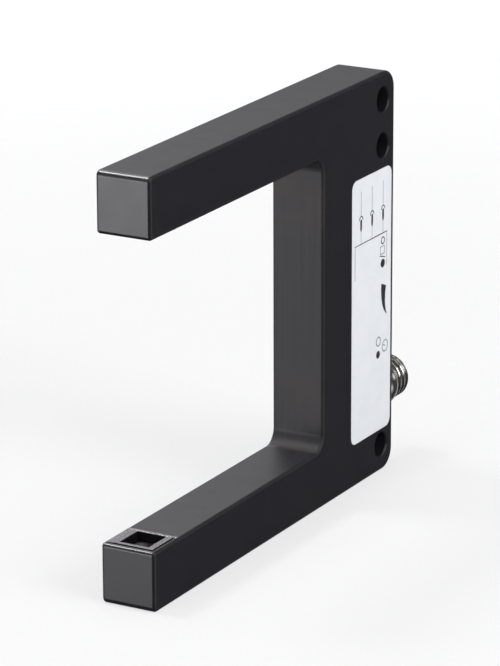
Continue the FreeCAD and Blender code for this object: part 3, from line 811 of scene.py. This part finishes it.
@dataclass
class WindowFrames(SubAssembly):
    """Plastic frames that close both windows and wrap round the arms' edges; sizes in mm."""

    arm_top: float = 10.0
    middle: float = 35.0
    half_width: float = 4.8
    edge_round: float = 0.5
    far_angle: float = 42.0
    near_angle: float = 14.0
    wrap_steps: int = 6
    skin: float = 0.02
    foot: float = 8.5
    outer_x: Range = (1.3, 7.55)
    outer_y: Range = (-3.7, 3.7)
    opening_x: Range = (1.95, 7.42)
    opening_y: Range = (-2.65, 2.6)
    lip: float = 0.06
    strip_x: Range = (1.0, 7.6)
    strip_foot: float = 0.6
    seam_y: float = 3.35
    bead: tuple[Point2, ...] = (
        (7.5, -0.1), (7.5, 0.0), (7.56, 0.035), (7.66, 0.05), (7.94, 0.05), (8.08, 0.01), (8.14, -0.1))

    def wrap(self, radius: float, side: int) -> list[Point2]:
        """Depths and heights of an arc that follows the arm's rounded edge.

        Args:
            radius: radius of the arc.
            side: 1 for the far edge, -1 for the near one.

        Returns:
            Points from the flat top down round the edge.
        """
        depth = self.half_width - self.edge_round
        height = self.arm_top - self.edge_round
        last = self.far_angle if side > 0 else self.near_angle
        angles = [math.radians(last * i / self.wrap_steps) for i in range(self.wrap_steps + 1)]
        return [(side * (depth + radius * math.sin(a)), height + radius * math.cos(a)) for a in angles]

    def skin_over(self, shape: bmesh.types.BMesh, sections: list[list[Point3]], closed: bool) -> None:
        """Joins like sections into one closed skin, on the lower arm and mirrored on the upper.

        Args:
            shape: the mesh that takes the skin.
            sections: loops of points in mm, all with the same number of points.
            closed: joins the last section to the first, in place of two end caps.
        """
        for sign in (1, -1):
            loops = [[shape.verts.new((along(x), y * MM, (self.middle + sign * (z - self.middle)) * MM))
                      for x, y, z in loop] for loop in sections]
            join_loops(shape, loops, closed)

    def frame_sections(self) -> list[list[Point3]]:
        """Sections of the flat frame at its four corners.

        Returns:
            The four loops of points.
        """
        sections = []
        top = self.arm_top
        for i, j in ((0, 0), (1, 0), (1, 1), (0, 1)):
            out_x, out_y = self.outer_x[i], self.outer_y[j]
            in_x, in_y = self.opening_x[i], self.opening_y[j]
            lip_x, lip_y = (2 * i - 1) * self.lip, (2 * j - 1) * self.lip
            sections.append([
                (out_x, out_y, self.foot),
                (out_x, out_y, top - self.lip),
                (out_x - lip_x, out_y - lip_y, top),
                (in_x + lip_x, in_y + lip_y, top),
                (in_x, in_y, top - self.lip),
                (in_x, in_y, self.foot),
            ])
        return sections

    def strip_sections(self) -> list[list[Point3]]:
        """Sections at both ends of the strip that wraps round the far edge.

        Returns:
            The two loops of points.
        """
        depth = 4 * self.skin
        outer = self.wrap(self.edge_round + self.skin, 1)
        inner = self.wrap(self.edge_round - depth, 1)
        low = self.arm_top - depth
        seam = [(self.seam_y, low), (self.seam_y, self.arm_top),
                (self.seam_y + self.skin, self.arm_top + self.skin)]
        loop = seam + outer + inner[::-1] + [(self.half_width - self.strip_foot, low)]
        return [[(x, y, z) for y, z in loop] for x in self.strip_x]

    def bead_sections(self) -> list[list[Point3]]:
        """Sections along the bead that crosses the arm behind the opening.

        Returns:
            The loops of points from the near edge to the far one.
        """
        loops: list[list[Point3]] = []
        for side in (-1, 1):
            rows = [self.wrap(self.edge_round + lift, side)[::side] for _, lift in self.bead]
            for step in range(len(rows[0])):
                loops.append([(x, row[step][0], row[step][1]) for (x, _), row in zip(self.bead, rows)])
        return loops

    def build(self) -> None:
        """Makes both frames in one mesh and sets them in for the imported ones."""
        shape = bmesh.new()
        self.skin_over(shape, self.frame_sections(), closed=True)
        self.skin_over(shape, self.strip_sections(), closed=False)
        self.skin_over(shape, self.bead_sections(), closed=False)
        bmesh.ops.recalc_face_normals(shape, faces=shape.faces)
        frames = new_object("window_frames", plain_mesh("window_frames", shape), WINDOW_PLASTIC)
        self.settle(frames, Slot.FRAMES, "emitter_frame", "receiver_frame")


@dataclass
class Optics(SubAssembly):
    """Lenses, diodes and their holders in both arms."""

    def build(self) -> None:
        """Dresses what lies on the light axis."""
        self.dress(LENS_PLASTIC, "emitter_lens", "receiver_lens")
        self.dress(HOLDER_PLASTIC, "emitter_holder", "receiver_holder")
        self.dress(CLEAR_DIODE, "emitter_led")
        self.dress(DARK_DIODE, "receiver_diode")
        self.dress(TINNED_METAL, "emitter_leads", "receiver_leads")


@dataclass
class Electronics(SubAssembly):
    """Boards and the parts on them, the adjusters and the indicator."""

    def build(self) -> None:
        """Dresses the boards and what they carry."""
        self.dress(BOARD_LACQUER, "emitter_board", "receiver_board", "main_board", "plug_board")
        self.dress(GOLD_CONTACT, "board_links")
        self.dress(CHIP_PLASTIC, "amplifier_chip", "controller_chip", "voltage_regulator",
                   "board_resistors")
        self.dress(CERAMIC_TAN, "board_capacitors")
        self.dress(ADJUSTER_BLUE, "trimmer_body", "switch_body")
        self.dress(ROTOR_PLASTIC, "sensitivity_trimmer", "light_dark_switch")
        self.dress(TINNED_METAL, "adjuster_terminals")
        self.dress(INDICATOR_YELLOW, "indicator_led")
        self.dress(CLEAR_ROD, "light_pipe")


@dataclass
class ScrewPlug(SubAssembly):
    """The round plug: sleeve with a screw thread, insert and pins; sizes in mm."""

    height: float = 13.0
    shank_start: float = 75.4
    shank_radius: float = 3.58
    collar_start: float = 80.02
    collar_end: float = 83.8
    collar_radius: float = 4.25
    neck_radius: float = 3.3
    core_radius: float = 3.32
    crest_radius: float = 3.88
    rim_start: float = 87.5
    rim_end: float = 87.98
    bore_radius: float = 3.0
    edge: float = 0.16
    facets: int = 120
    pitch: float = 1.35
    turns: float = 1.9
    thread_start: float = 84.825
    thread_steps: int = 90
    root_depth: float = 0.1
    foot_share: float = 0.86
    crest_share: float = 0.22
    run_out: float = 0.09
    run_out_size: float = 0.05

    def profile(self) -> list[Point2]:
        """Section of the sleeve's wall, its corners eased by parts of the edge.

        Returns:
            Stations and radii round the wall, in mm.
        """
        e = self.edge
        return [
            (self.shank_start, self.bore_radius),
            (self.shank_start, self.shank_radius - e),
            (self.shank_start + e, self.shank_radius),
            (self.collar_start, self.shank_radius),
            (self.collar_start, self.collar_radius - e * 0.4),
            (self.collar_start + e * 0.4, self.collar_radius),
            (self.collar_end - e * 6, self.collar_radius),
            (self.collar_end - e * 3, self.collar_radius - e * 0.5),
            (self.collar_end - e, self.collar_radius - e * 1.5),
            (self.collar_end, self.collar_radius - e * 2.8),
            (self.collar_end, self.neck_radius + e),
            (self.collar_end + e, self.neck_radius),
            (self.rim_start, self.core_radius),
            (self.rim_start + e, self.crest_radius - e / 4),
            (self.rim_start + e * 1.5, self.crest_radius),
            (self.rim_end - e / 2, self.crest_radius - e),
            (self.rim_end, self.crest_radius - e * 2),
            (self.rim_end, self.bore_radius + e),
            (self.rim_end - e, self.bore_radius),
        ]

    def sleeve_mesh(self) -> bpy.types.Mesh:
        """Turns the wall's section round the plug's axis into a closed mesh.

        Returns:
            The mesh.
        """
        shape = bmesh.new()
        rings = []
        for step in range(self.facets):
            turn = 2 * math.pi * step / self.facets
            points = [(along(x), r * MM * math.sin(turn), (self.height + r * math.cos(turn)) * MM)
                      for x, r in self.profile()]
            rings.append([shape.verts.new(point) for point in points])
        join_loops(shape, rings, closed=True)
        for face in shape.faces:
            face.smooth = True
        bmesh.ops.recalc_face_normals(shape, faces=shape.faces)
        return plain_mesh("sleeve_wall", shape)

    def thread(self) -> bpy.types.Object:
        """Winds the thread's ridge round the core with a node tree.

        Returns:
            The finished ridge.
        """
        recipe = NodeRecipe("thread_ridge", {
            "Pitch": self.pitch * MM,
            "Turns": self.turns,
            "Core Radius": (self.core_radius - self.root_depth) * MM,
            "Ridge Height": (self.crest_radius - self.core_radius + self.root_depth) * MM,
            "Foot Width": self.pitch * self.foot_share * MM,
            "Crest Width": self.pitch * self.crest_share * MM,
            "Start": along(self.thread_start),
            "Axis Height": self.height * MM}, {"Steps": self.thread_steps})
        w, given = recipe.wiring, recipe.given
        spiral = w.node("GeometryNodeCurveSpiral", {
            "Resolution": given["Steps"], "Rotations": given["Turns"],
            "Start Radius": given["Core Radius"], "End Radius": given["Core Radius"],
            "Height": w.maths("MULTIPLY", given["Pitch"], given["Turns"])})
        upright = w.node("GeometryNodeSetCurveNormal", {"Curve": spiral.outputs["Curve"]}, mode="Z_UP")
        share = w.node("GeometryNodeSplineParameter").outputs["Factor"]
        from_end = w.maths("MINIMUM", share, w.maths("SUBTRACT", 1.0, share))
        sized = w.node("GeometryNodeSetCurveRadius", {
            "Curve": upright.outputs["Curve"],
            "Radius": w.spread(from_end, (0.0, self.run_out), (self.run_out_size, 1.0))})
        ridge = w.node("GeometryNodeCurvePrimitiveQuadrilateral", mode="TRAPEZOID", inputs={
            "Bottom Width": given["Foot Width"], "Top Width": given["Crest Width"], "Offset": 0.0,
            "Height": given["Ridge Height"]})
        raised = w.node("GeometryNodeTransform", {
            "Geometry": ridge.outputs["Curve"],
            "Translation": w.joined(y=w.maths("MULTIPLY", given["Ridge Height"], 0.5))})
        turned = w.node("GeometryNodeTransform", {
            "Geometry": raised.outputs["Geometry"], "Rotation": (0.0, 0.0, QUARTER_TURN)})
        swept = w.node("GeometryNodeCurveToMesh", {
            "Curve": sized.outputs["Curve"], "Profile Curve": turned.outputs["Geometry"],
            "Fill Caps": True})
        laid = w.node("GeometryNodeTransform", {
            "Geometry": swept.outputs["Mesh"], "Rotation": (0.0, QUARTER_TURN, 0.0),
            "Translation": w.joined(x=given["Start"], z=given["Axis Height"])})
        recipe.end(laid.outputs["Geometry"], PLATED_METAL)
        return recipe.run(new_object("plug_thread", bpy.data.meshes.new("thread_ridge"), PLATED_METAL))

    def build(self) -> None:
        """Makes the sleeve and thread, and dresses the insert and the pins."""
        sleeve = new_object("plug_sleeve_wall", self.sleeve_mesh(), PLATED_METAL)
        for piece in (sleeve, self.thread()):
            self.settle(piece, Slot.PLATING, "plug_sleeve")
        self.dress(INSERT_PLASTIC, "plug_insert")
        self.dress(GOLD_CONTACT, "contact_pins")


@dataclass(frozen=True)
class Stroke:
    """A straight printed line; its weight is a share of the label's line width."""

    start: Point2
    end: Point2
    weight: float = 1.0


@dataclass(frozen=True)
class Circle:
    """A printed circle; an open one has a line of some weight, a filled one has none."""

    centre: Point2
    radius: float
    weight: float = 0.0


@dataclass
class InkShapes:
    """Flat printed shapes between two depths, given by stations and heights in mm."""

    back: float
    front: float
    line: float
    shape: bmesh.types.BMesh = field(default_factory=bmesh.new)

    def corner(self, point: Point2, depth: float) -> bmesh.types.BMVert:
        """Makes one vertex of a printed shape."""
        return self.shape.verts.new((along(point[0]), depth * MM, point[1] * MM))

    def polygon(self, points: list[Point2]) -> None:
        """Prints a filled outline.

        Args:
            points: its corners in order.
        """
        front = [self.corner(p, self.front) for p in points]
        back = [self.corner(p, self.back) for p in points]
        self.shape.faces.new(front)
        self.shape.faces.new(back[::-1])
        for index in range(len(points)):
            after = (index + 1) % len(points)
            self.shape.faces.new((front[index], back[index], back[after], front[after]))

    def stroke(self, mark: Stroke) -> None:
        """Prints a straight line.

        Args:
            mark: the line.
        """
        (x0, y0), (x1, y1) = mark.start, mark.end
        length = math.hypot(x1 - x0, y1 - y0)
        half = self.line * mark.weight / 2
        side_x, side_y = -(y1 - y0) / length * half, (x1 - x0) / length * half
        self.polygon([(x0 + side_x, y0 + side_y), (x1 + side_x, y1 + side_y),
                      (x1 - side_x, y1 - side_y), (x0 - side_x, y0 - side_y)])

    def round_points(self, centre: Point2, radius: float, angles: Range, runs: int) -> list[Point2]:
        """Points on a circle.

        Args:
            centre: its middle.
            radius: its radius.
            angles: where the points start and end, in degrees.
            runs: how many steps lie between them.

        Returns:
            The points, both ends among them.
        """
        first, last = angles
        turns = [math.radians(first + (last - first) * i / runs) for i in range(runs + 1)]
        return [(centre[0] + radius * math.cos(a), centre[1] + radius * math.sin(a)) for a in turns]

    def arc(self, mark: Circle, angles: Range, runs: int) -> None:
        """Prints an open arc.

        Args:
            mark: the circle that it is part of.
            angles: where it starts and ends, in degrees.
            runs: how many straight runs stand for it.
        """
        half = self.line * mark.weight / 2
        outer = self.round_points(mark.centre, mark.radius + half, angles, runs)
        inner = self.round_points(mark.centre, mark.radius - half, angles, runs)
        self.polygon(outer + inner[::-1])

    def circle(self, mark: Circle) -> None:
        """Prints a filled disc, or an open ring as two half arcs.

        Args:
            mark: the circle.
        """
        if mark.weight > 0:
            self.arc(mark, (0.0, 180.0), runs=18)
            self.arc(mark, (180.0, 360.0), runs=18)
        else:
            self.polygon(self.round_points(mark.centre, mark.radius, (0.0, 360.0), runs=32)[:-1])

    def mesh(self, name: str) -> bpy.types.Mesh:
        """Closes the shapes into one mesh."""
        bmesh.ops.recalc_face_normals(self.shape, faces=self.shape.faces)
        return plain_mesh(name, self.shape)


@dataclass
class RatingLabel(SubAssembly):
    """The white sheet and its generic wiring and setting symbols; sizes in mm."""

    sheet_face: float = -4.77
    ink_face: float = -4.782
    line: float = 0.14
    first_wire: float = 68.2
    wire_pitch: float = 3.95
    wire_count: int = 3
    lead_heights: tuple[Range, ...] = ((51.3, 47.1), (44.4, 42.3))
    lead_weight: float = 0.85
    socket_height: float = 46.42
    socket_radius: float = 0.6
    socket_weight: float = 1.4
    socket_angles: Range = (-8.0, 188.0)
    pin_outline: tuple[Point2, ...] = (
        (-0.15, 44.4), (0.15, 44.4), (0.3, 44.9), (0.3, 46.3), (0.0, 46.55), (-0.3, 46.3), (-0.3, 44.9))
    grey_strokes: tuple[Stroke, ...] = (
        Stroke((66.1, 42.2), (66.1, 36.3)),
        Stroke((77.5, 42.2), (77.5, 36.3), 0.8),
        Stroke((75.2, 38.6), (76.7, 38.6)),
        Stroke((76.7, 38.6), (76.7, 39.9)),
        Stroke((76.7, 39.9), (75.2, 39.9)),
        Stroke((75.2, 39.9), (75.2, 38.6)),
        Stroke((77.1, 22.1), (76.4, 22.4), 1.4),
    )
    grey_circles: tuple[Circle, ...] = (
        Circle((74.7, 23.4), 0.76, 1.6),
        Circle((77.1, 22.1), 1.0, 1.4),
    )
    dark_strokes: tuple[Stroke, ...] = (
        Stroke((66.0, 42.2), (77.6, 42.2), 1.2),
        Stroke((75.0, 38.4), (77.0, 37.8), 1.2),
    )
    dark_circles: tuple[Circle, ...] = (
        Circle((76.1, 40.9), 0.58, 1.5),
        Circle((76.1, 36.9), 0.75),
        Circle((74.6, 21.1), 0.67),
    )
    wedge: tuple[Point2, ...] = (
        (75.65, 33.4), (77.35, 32.7), (77.05, 31.4), (76.98, 30.2), (77.08, 29.2), (77.3, 28.4),
        (77.65, 27.6), (77.1, 28.0), (76.6, 28.6), (76.2, 29.25), (75.92, 30.0), (75.72, 30.8),
        (75.62, 31.6), (75.58, 32.5))

    def ink(self) -> InkShapes:
        """Starts an empty print on the sheet."""
        return InkShapes(self.sheet_face, self.ink_face, self.line)

    def wire_mark(self) -> bpy.types.Mesh:
        """The two thin leads of one wire of the plug diagram.

        Returns:
            The mark's mesh.
        """
        ink = self.ink()
        for top, bottom in self.lead_heights:
            ink.stroke(Stroke((self.first_wire, top), (self.first_wire, bottom), self.lead_weight))
        return ink.mesh("wire_mark")

    def pin_mark(self) -> bpy.types.Mesh:
        """The socket's arc and the filled pin of one wire.

        Returns:
            The mark's mesh.
        """
        ink = self.ink()
        centre = (self.first_wire, self.socket_height)
        ink.arc(Circle(centre, self.socket_radius, self.socket_weight), self.socket_angles, runs=24)
        ink.polygon([(self.first_wire + x, height) for x, height in self.pin_outline])
        return ink.mesh("pin_mark")

    def symbol_mark(self, name: str, strokes: tuple[Stroke, ...], circles: tuple[Circle, ...],
                    outlines: tuple[tuple[Point2, ...], ...] = ()) -> bpy.types.Mesh:
        """The symbols that are printed in one ink.

        Args:
            name: the mesh's name.
            strokes: their straight lines.
            circles: their rings and dots.
            outlines: their other filled shapes.

        Returns:
            The mesh of all of them.
        """
        ink = self.ink()
        for outline in outlines:
            ink.polygon(list(outline))
        for stroke in strokes:
            ink.stroke(stroke)
        for circle in circles:
            ink.circle(circle)
        return ink.mesh(name)

    def repeated(self, name: str, mark: bpy.types.Mesh, finish: Finish) -> bpy.types.Object:
        """Repeats a mark for each wire with a node tree.

        Args:
            name: the piece's name.
            mark: the mark's mesh.
            finish: its ink.

        Returns:
            The finished piece.
        """
        recipe = NodeRecipe(name + "_row", {"Pitch": self.wire_pitch * MM}, {"Count": self.wire_count})
        w, given = recipe.wiring, recipe.given
        row = w.node("GeometryNodeMeshLine", mode="OFFSET", inputs={
            "Count": given["Count"], "Offset": w.joined(x=given["Pitch"])})
        placed = w.node("GeometryNodeInstanceOnPoints", {
            "Points": row.outputs["Mesh"], "Instance": given["Geometry"]})
        recipe.end(placed.outputs["Instances"], finish)
        return recipe.run(new_object(name, mark, finish))

    def build(self) -> None:
        """Dresses the sheet and prints its symbols."""
        self.dress(WHITE_SHEET, "rating_label")
        lines = self.symbol_mark("outline_marks", self.grey_strokes, self.grey_circles)
        symbols = self.symbol_mark("filled_marks", self.dark_strokes, self.dark_circles, (self.wedge,))
        pieces = [
            self.repeated("label_wires", self.wire_mark(), GREY_INK),
            self.repeated("label_pins", self.pin_mark(), DARK_INK),
            new_object("label_lines", lines, GREY_INK),
            new_object("label_symbols", symbols, DARK_INK),
        ]
        for piece in pieces:
            self.settle(piece, Slot.INK)


@dataclass(frozen=True)
class SoftBox:
    """One square studio lamp; metres and watts."""

    name: str
    towards: Point3
    distance: float
    side: float
    power: float

    def build(self, aim: Vector) -> None:
        """Hangs the lamp and turns it to the object.

        Args:
            aim: the point that it shines at.
        """
        lamp = bpy.data.lights.new(self.name, "AREA")
        lamp.shape = "SQUARE"
        lamp.size = self.side
        lamp.energy = self.power
        holder = bpy.data.objects.new(self.name, lamp)
        bpy.context.scene.collection.objects.link(holder)
        direction = Vector(self.towards).normalized()
        holder.location = aim + direction * self.distance
        holder.rotation_euler = direction.to_track_quat("Z", "Y").to_euler()
        holder.visible_camera = False
        LOG.info("lamp %s", self.name)


@dataclass(frozen=True)
class Glow:
    """A soft bright patch of the surroundings that glossy surfaces mirror; angles in degrees."""

    towards: Point3
    strength: float
    outer: float
    inner: float
    ceiling: float = 1.2


@dataclass
class Studio:
    """Pale floor, pale surroundings and soft lamps."""

    floor_half: float = 4.0
    floor_cells: int = 8
    ambient: float = 0.42
    mirrored_base: float = 0.04
    ceiling_blur: float = 0.08
    tint: Colour = (0.97, 0.965, 1.0)
    aim: Point3 = (0.0, 0.0, 0.035)
    glows: tuple[Glow, ...] = (
        Glow((-0.8, 0.48, -0.02), 9.3, 21.6, 5.0, ceiling=-0.02),
        Glow((0.78, 0.5, 0.36), 0.07, 50.0, 15.0),
        Glow((0.42, 0.62, 0.66), 2.75, 34.0, 12.0),
        Glow((0.4, -0.86, -0.3), 1.0, 20.0, 6.0),
        Glow((0.85, -0.5, 0.14), 1.4, 9.5, 3.0),
        Glow((-0.12, 0.5, 0.85), 30.0, 9.5, 5.5),
        Glow((0.96, 0.2, -0.2), 0.7, 30.0, 8.0),
        Glow((0.1, 0.95, -0.25), 0.7, 40.0, 12.0),
    )
    lamps: tuple[SoftBox, ...] = (
        SoftBox("left_softbox", (-0.9, 0.3, 0.5), 1.1, 0.6, 1.2),
        SoftBox("top_softbox", (-0.3, -0.2, 1.0), 1.1, 0.8, 1.4),
        SoftBox("edge_softbox", (-0.08, 0.5, 0.85), 0.9, 0.2, 1.7),
        SoftBox("front_softbox", (-0.1, -0.9, 0.5), 1.1, 0.6, 6.2),
    )

    def floor(self) -> None:
        """Lays the floor just under the object."""
        shape = bmesh.new()
        bmesh.ops.create_grid(
            shape, x_segments=self.floor_cells, y_segments=self.floor_cells, size=self.floor_half)
        floor = new_object("floor", plain_mesh("floor", shape), PALE_FLOOR)
        floor.visible_glossy = False

    def mirrored(self, w: Wiring) -> Socket:
        """Level of the surroundings that glossy surfaces mirror in each direction.

        Args:
            w: the world's tree.

        Returns:
            The level's socket.
        """
        look = w.node("ShaderNodeTexCoord").outputs["Generated"]
        height = w.axes(look)[2]
        total: Any = self.mirrored_base
        for glow in self.glows:
            middle = Vector(glow.towards).normalized()
            side = w.node("ShaderNodeVectorMath", {0: look, 1: middle}, operation="DOT_PRODUCT")
            edges = (math.cos(math.radians(glow.outer)), math.cos(math.radians(glow.inner)))
            patch = w.spread(side.outputs["Value"], edges, (0.0, glow.strength))
            below = w.spread(height, around(glow.ceiling, self.ceiling_blur), FALLING)
            total = w.maths("ADD", total, w.maths("MULTIPLY", patch, below))
        return total

    def surroundings(self) -> None:
        """White backdrop for the camera, soft grey light, and soft patches for reflections."""
        world = bpy.data.worlds.new("studio_surroundings")
        bpy.context.scene.world = world
        world.use_nodes = True
        world.node_tree.nodes.clear()
        w = Wiring(world.node_tree)
        rays = w.node("ShaderNodeLightPath").outputs
        strength = w.level(rays["Is Glossy Ray"], self.ambient, self.mirrored(w))
        seen = w.maths("MAXIMUM", rays["Is Camera Ray"], rays["Is Transmission Ray"])
        shader = w.node("ShaderNodeBackground", {
            "Color": w.blend(seen, rgba(self.tint), rgba(WHITE)),
            "Strength": w.maths("MAXIMUM", strength, seen)})
        w.node("ShaderNodeOutputWorld", {"Surface": shader.outputs[0]})

    def build(self) -> None:
        """Makes floor, surroundings and lamps."""
        self.floor()
        self.surroundings()
        for lamp in self.lamps:
            lamp.build(Vector(self.aim))


@dataclass
class CameraView:
    """The photograph's camera; angles in degrees, lengths in metres, its lens and sensor in mm."""

    azimuth: float = -60.63
    elevation: float = 17.56
    roll: float = -0.21
    distance: float = 0.6265
    shift_right: float = -0.0007
    shift_up: float = 0.00043
    middle: Point3 = (-0.0065, 0.0, 0.035)
    lens: float = 210.5
    sensor: float = 36.0
    nearest: float = 0.01

    def build(self) -> None:
        """Places the camera so that the render lies over the photograph."""
        a, e, r = (math.radians(v) for v in (self.azimuth, self.elevation, self.roll))
        back = Vector((math.sin(a) * math.cos(e), -math.cos(a) * math.cos(e), math.sin(e)))
        level = Vector((math.cos(a), math.sin(a), 0.0))
        upright = back.cross(level)
        right = level * math.cos(r) + upright * math.sin(r)
        up = upright * math.cos(r) - level * math.sin(r)
        place = Vector(self.middle) - right * self.shift_right - up * self.shift_up + back * self.distance
        turn = Matrix((right, up, back)).transposed().to_4x4()
        data = bpy.data.cameras.new("photo_camera")
        data.lens = self.lens
        data.sensor_width = self.sensor
        data.clip_start = self.nearest
        camera = bpy.data.objects.new("photo_camera", data)
        camera.matrix_world = Matrix.Translation(place) @ turn
        bpy.context.scene.collection.objects.link(camera)
        bpy.context.scene.camera = camera
        bpy.context.scene.view_settings.view_transform = "Standard"
        LOG.info("camera at %s", tuple(round(v, 4) for v in place))


def main() -> None:
    """Builds every sub-assembly, the stage and the camera in order."""
    logging.basicConfig(level=logging.INFO, format="%(message)s")
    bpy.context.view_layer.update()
    for part in (Housing(), WindowFrames(), Optics(), Electronics(), ScrewPlug(), RatingLabel()):
        part.build()
        LOG.info("finished %s", type(part).__name__)
    Studio().build()
    CameraView().build()


if __name__ == "__main__":
    main()
